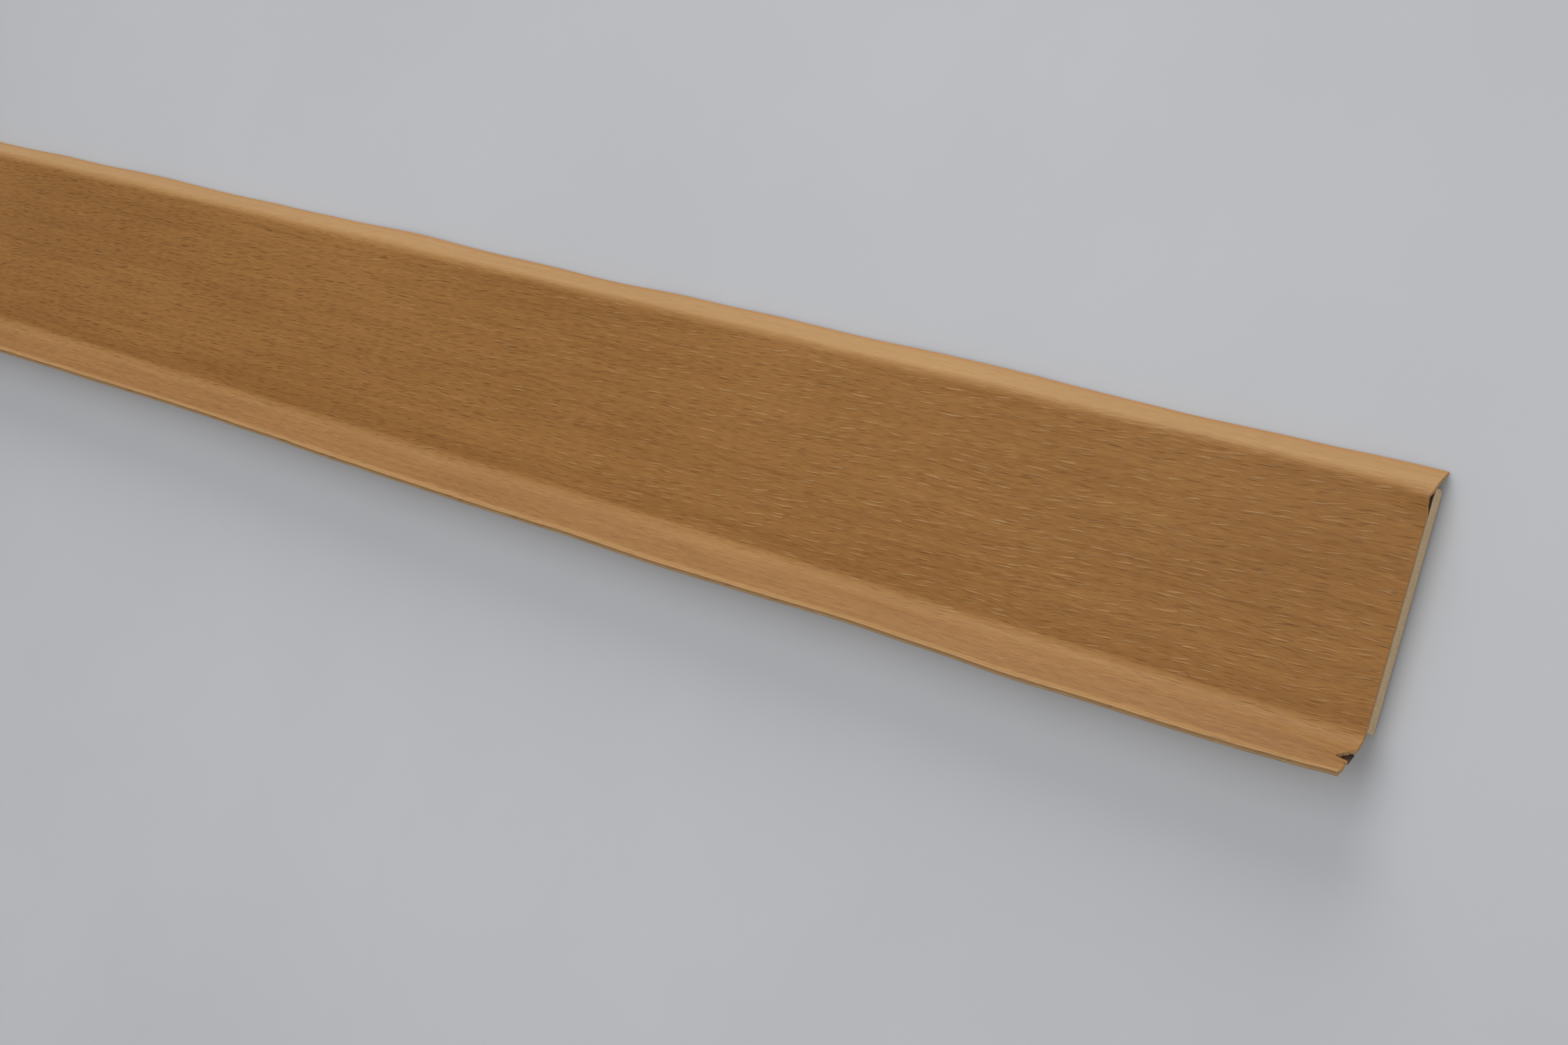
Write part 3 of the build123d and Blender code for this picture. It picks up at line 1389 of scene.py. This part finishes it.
@dataclass(frozen=True)
class Panel:
    """A soft light panel, placed and aimed from the middle of the near end, in metres and watts."""

    name: str
    place: tuple[float, float, float]
    aim: tuple[float, float, float]
    size: tuple[float, float]
    power: float

    def hang(self, origin: Vector) -> Object:
        """Hang the panel where no view shows the panel itself.

        Args:
            origin: The middle of the board's near end.

        Returns:
            The lamp.
        """
        place = origin + Vector(self.place)
        lamp = bpy.data.lights.new(self.name, "AREA")
        lamp.shape = "RECTANGLE"
        lamp.size, lamp.size_y = self.size
        lamp.energy = self.power
        panel = bpy.data.objects.new(self.name, lamp)
        turn = (place - origin - Vector(self.aim)).to_track_quat("Z", "Y")
        panel.matrix_world = Matrix.Translation(place) @ turn.to_matrix().to_4x4()
        panel.visible_camera = False
        bpy.context.scene.collection.objects.link(panel)
        return panel


@dataclass(frozen=True)
class Sun:
    """A broad even light from far off: the way to it, its strength and its spread in degrees."""

    name: str
    source: tuple[float, float, float]
    strength: float
    spread: float

    def rise(self) -> Object:
        """Set the light up and return its lamp."""
        lamp = bpy.data.lights.new(self.name, "SUN")
        lamp.energy = self.strength
        lamp.angle = math.radians(self.spread)
        sun = bpy.data.objects.new(self.name, lamp)
        sun.matrix_world = Vector(self.source).to_track_quat("Z", "Y").to_matrix().to_4x4()
        bpy.context.scene.collection.objects.link(sun)
        return sun


@dataclass
class Stage:
    """The pale floor under the board, the soft lights and the camera.

    Places are given from the middle of the board's near end.
    """

    floor_size: float = 40.0
    far_tone: str = "#A0A2A5"
    panel: Panel = Panel(
        name="top_panel", place=(-0.2, 0.12, 0.65), aim=(-0.2, 0.11, 0.0), size=(0.6, 0.6), power=1.5
    )
    suns: tuple[Sun, ...] = (
        Sun(name="key_sun", source=(0.6, -0.25, 0.8), strength=0.78, spread=60.0),
        Sun(name="side_sun", source=(-0.3, 1.0, 0.36), strength=1.7, spread=40.0),
    )
    fill_colour: str = "#FFFFFF"
    fill_strength: float = 0.3
    lens: float = 51.14
    sensor_width: float = 36.0
    camera_place: tuple[float, float, float] = (0.14319, -0.00248, 0.40617)
    camera_forward: tuple[float, float, float] = (-0.5749, -0.0288, -0.81772)
    camera_up: tuple[float, float, float] = (-0.23174, 0.96419, 0.12897)

    def floor(self, height: float) -> Object:
        """Lay the floor.

        Args:
            height: The level that the board rests on.

        Returns:
            The floor.
        """
        half = self.floor_size / 2
        mesh = bpy.data.meshes.new("floor")
        corners = [(x * half, y * half, height) for x, y in ((-1, -1), (1, -1), (1, 1), (-1, 1))]
        mesh.from_pydata(corners, [], [(0, 1, 2, 3)])
        mesh.materials.append(PALE_FLOOR.make())
        floor = bpy.data.objects.new("floor", mesh)
        bpy.context.scene.collection.objects.link(floor)
        floor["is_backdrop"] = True
        return floor

    def light(self, end: float) -> None:
        """Hang a panel over the near end, raise a sun on each side and fill evenly.

        Args:
            end: Where the board's near end is along X.
        """
        self.panel.hang(Vector((end, 0.0, 0.0)))
        for sun in self.suns:
            sun.rise()
        world = bpy.data.worlds.new("even_fill")
        world.use_nodes = True
        tree = world.node_tree
        tree.nodes.clear()
        add = partial(add_node, tree)
        fill = add("ShaderNodeBackground", linear(self.fill_colour), self.fill_strength)
        # Beyond the floor's far edge the eye meets the floor's own tone
        seen = add("ShaderNodeBackground", linear(self.far_tone))
        rays = add("ShaderNodeLightPath").node.outputs
        direct = rays["Is Camera Ray"]
        for kind in ("Is Glossy Ray", "Is Transmission Ray"):
            direct = add("MAXIMUM", direct, rays[kind])
        add("ShaderNodeOutputWorld", add("ShaderNodeMixShader", direct, fill, seen))
        bpy.context.scene.world = world

    def camera(self, end: float) -> Object:
        """Set the camera where the photograph was taken from, seen from the board.

        Args:
            end: Where the board's near end is along X.

        Returns:
            The camera.
        """
        data = bpy.data.cameras.new("camera")
        data.sensor_fit = "HORIZONTAL"
        data.sensor_width = self.sensor_width
        data.lens = self.lens
        camera = bpy.data.objects.new("camera", data)
        forward = Vector(self.camera_forward).normalized()
        right = forward.cross(Vector(self.camera_up)).normalized()
        up = right.cross(forward)
        turn = Matrix((right, up, -forward)).transposed()
        place = Vector((end, 0.0, 0.0)) + Vector(self.camera_place)
        camera.matrix_world = Matrix.Translation(place) @ turn.to_4x4()
        bpy.context.scene.collection.objects.link(camera)
        bpy.context.scene.camera = camera
        return camera


def main() -> None:
    """Build the board's pieces in order, then the stage."""
    logging.basicConfig(level=logging.INFO, format="%(message)s")
    bpy.context.scene.view_settings.view_transform = "Standard"
    board = BoardSizes()
    cover = LippedCover(board)
    path = cover.path()
    landmarks = dict(zip(Landmark, (0.0, path.knees[0], path.knees[1], path.length)))
    film = BeechFilm(landmarks).make()
    raw, torn = RAW_PVC.make(), SCRAP_SHADE_PVC.make()
    skin, sawn = EXTRUDED_CORE.make(), SAWN_CORE.make()
    sweep = StripSweep()
    for piece in (cover.build(sweep, film, raw, torn), CoreStrip(board).build(sweep, skin, sawn)):
        piece.data.calc_loop_triangles()
        LOG.info("%s: %d triangles", piece.name, len(piece.data.loop_triangles))
    stage = Stage()
    stage.floor(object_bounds()[0].z)
    stage.light(CAD_BOX[1].x)
    stage.camera(CAD_BOX[1].x)


if __name__ == "__main__":
    main()
